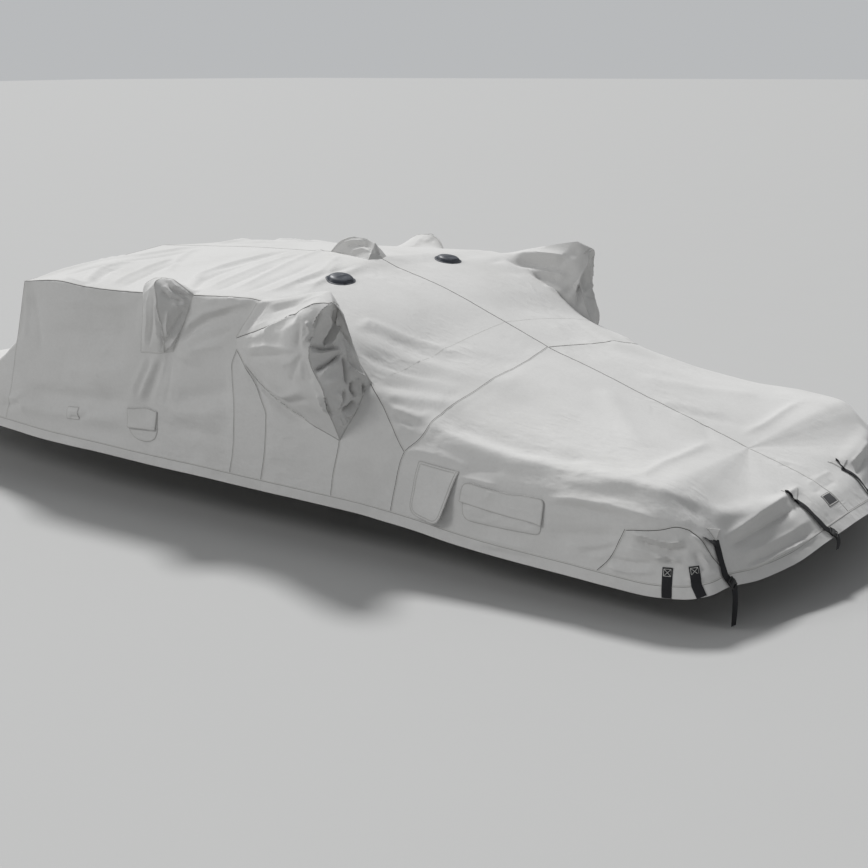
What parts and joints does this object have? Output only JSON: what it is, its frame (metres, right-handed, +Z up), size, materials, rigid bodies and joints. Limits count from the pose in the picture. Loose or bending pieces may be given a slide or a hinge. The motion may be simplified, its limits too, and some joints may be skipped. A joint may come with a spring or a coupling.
{
  "type": "fitted boat cover",
  "caption": "Fitted canvas cover for a tow-sports boat, raised over its folded tower with pockets for the tower's legs, with a turned hem, vents and webbing tie-downs at the stern.",
  "frame": {"origin": "underside of the roof on the centreline, where the boat holds the cover up", "axes": "+X aft along the boat, +Y starboard, +Z up"},
  "size_m": [6.9225, 2.8696, 1.4998],
  "materials": {
    "canvas": "light warm grey woven canvas, matt",
    "webbing": "black polyester webbing",
    "buckle": "black moulded plastic",
    "vent": "dark blue-grey moulded plastic",
    "tag": "plain woven tag"
  },
  "bodies": {
    "root": {"aft_deck_port": "canvas", "aft_deck_starboard": "canvas", "bow_port": "canvas", "bow_starboard": "canvas", "buckle_port_inner": "buckle", "buckle_port_outer": "buckle", "buckle_starboard_inner": "buckle", "buckle_starboard_outer": "buckle", "cleat_flap_port": "canvas", "cleat_flap_starboard": "canvas", "corner_strap_aft_port": "webbing", "corner_strap_aft_starboard": "webbing", "corner_strap_fore_port": "webbing", "corner_strap_fore_starboard": "webbing", "front_wall": "canvas", "gore_port": "canvas", "gore_starboard": "canvas", "hanging_flap_port": "canvas", "hanging_flap_starboard": "canvas", "knuckle_gusset_port": "canvas", "knuckle_gusset_starboard": "canvas", "knuckle_pocket_port": "canvas", "knuckle_pocket_starboard": "canvas", "ridge_pocket": "canvas", "roof_port": "canvas", "roof_starboard": "canvas", "rounded_patch_port": "canvas", "rounded_patch_starboard": "canvas", "side_aft_port": "canvas", "side_aft_starboard": "canvas", "side_fore_port": "canvas", "side_fore_starboard": "canvas", "side_mid_port": "canvas", "side_mid_starboard": "canvas", "small_patch_port": "canvas", "stern_corner_port": "canvas", "stern_corner_starboard": "canvas", "stern_tag": "tag", "strap_patch_port_inner": "canvas", "strap_patch_port_outer": "canvas", "strap_patch_starboard_inner": "canvas", "strap_patch_starboard_outer": "canvas", "strap_port_inner": "webbing", "strap_port_outer": "webbing", "strap_starboard_inner": "webbing", "strap_starboard_outer": "webbing", "tower_pocket_end_port": "canvas", "tower_pocket_end_starboard": "canvas", "tower_pocket_port": "canvas", "tower_pocket_starboard": "canvas", "vent_port": "vent", "vent_starboard": "vent"}
  },
  "joints": []
}
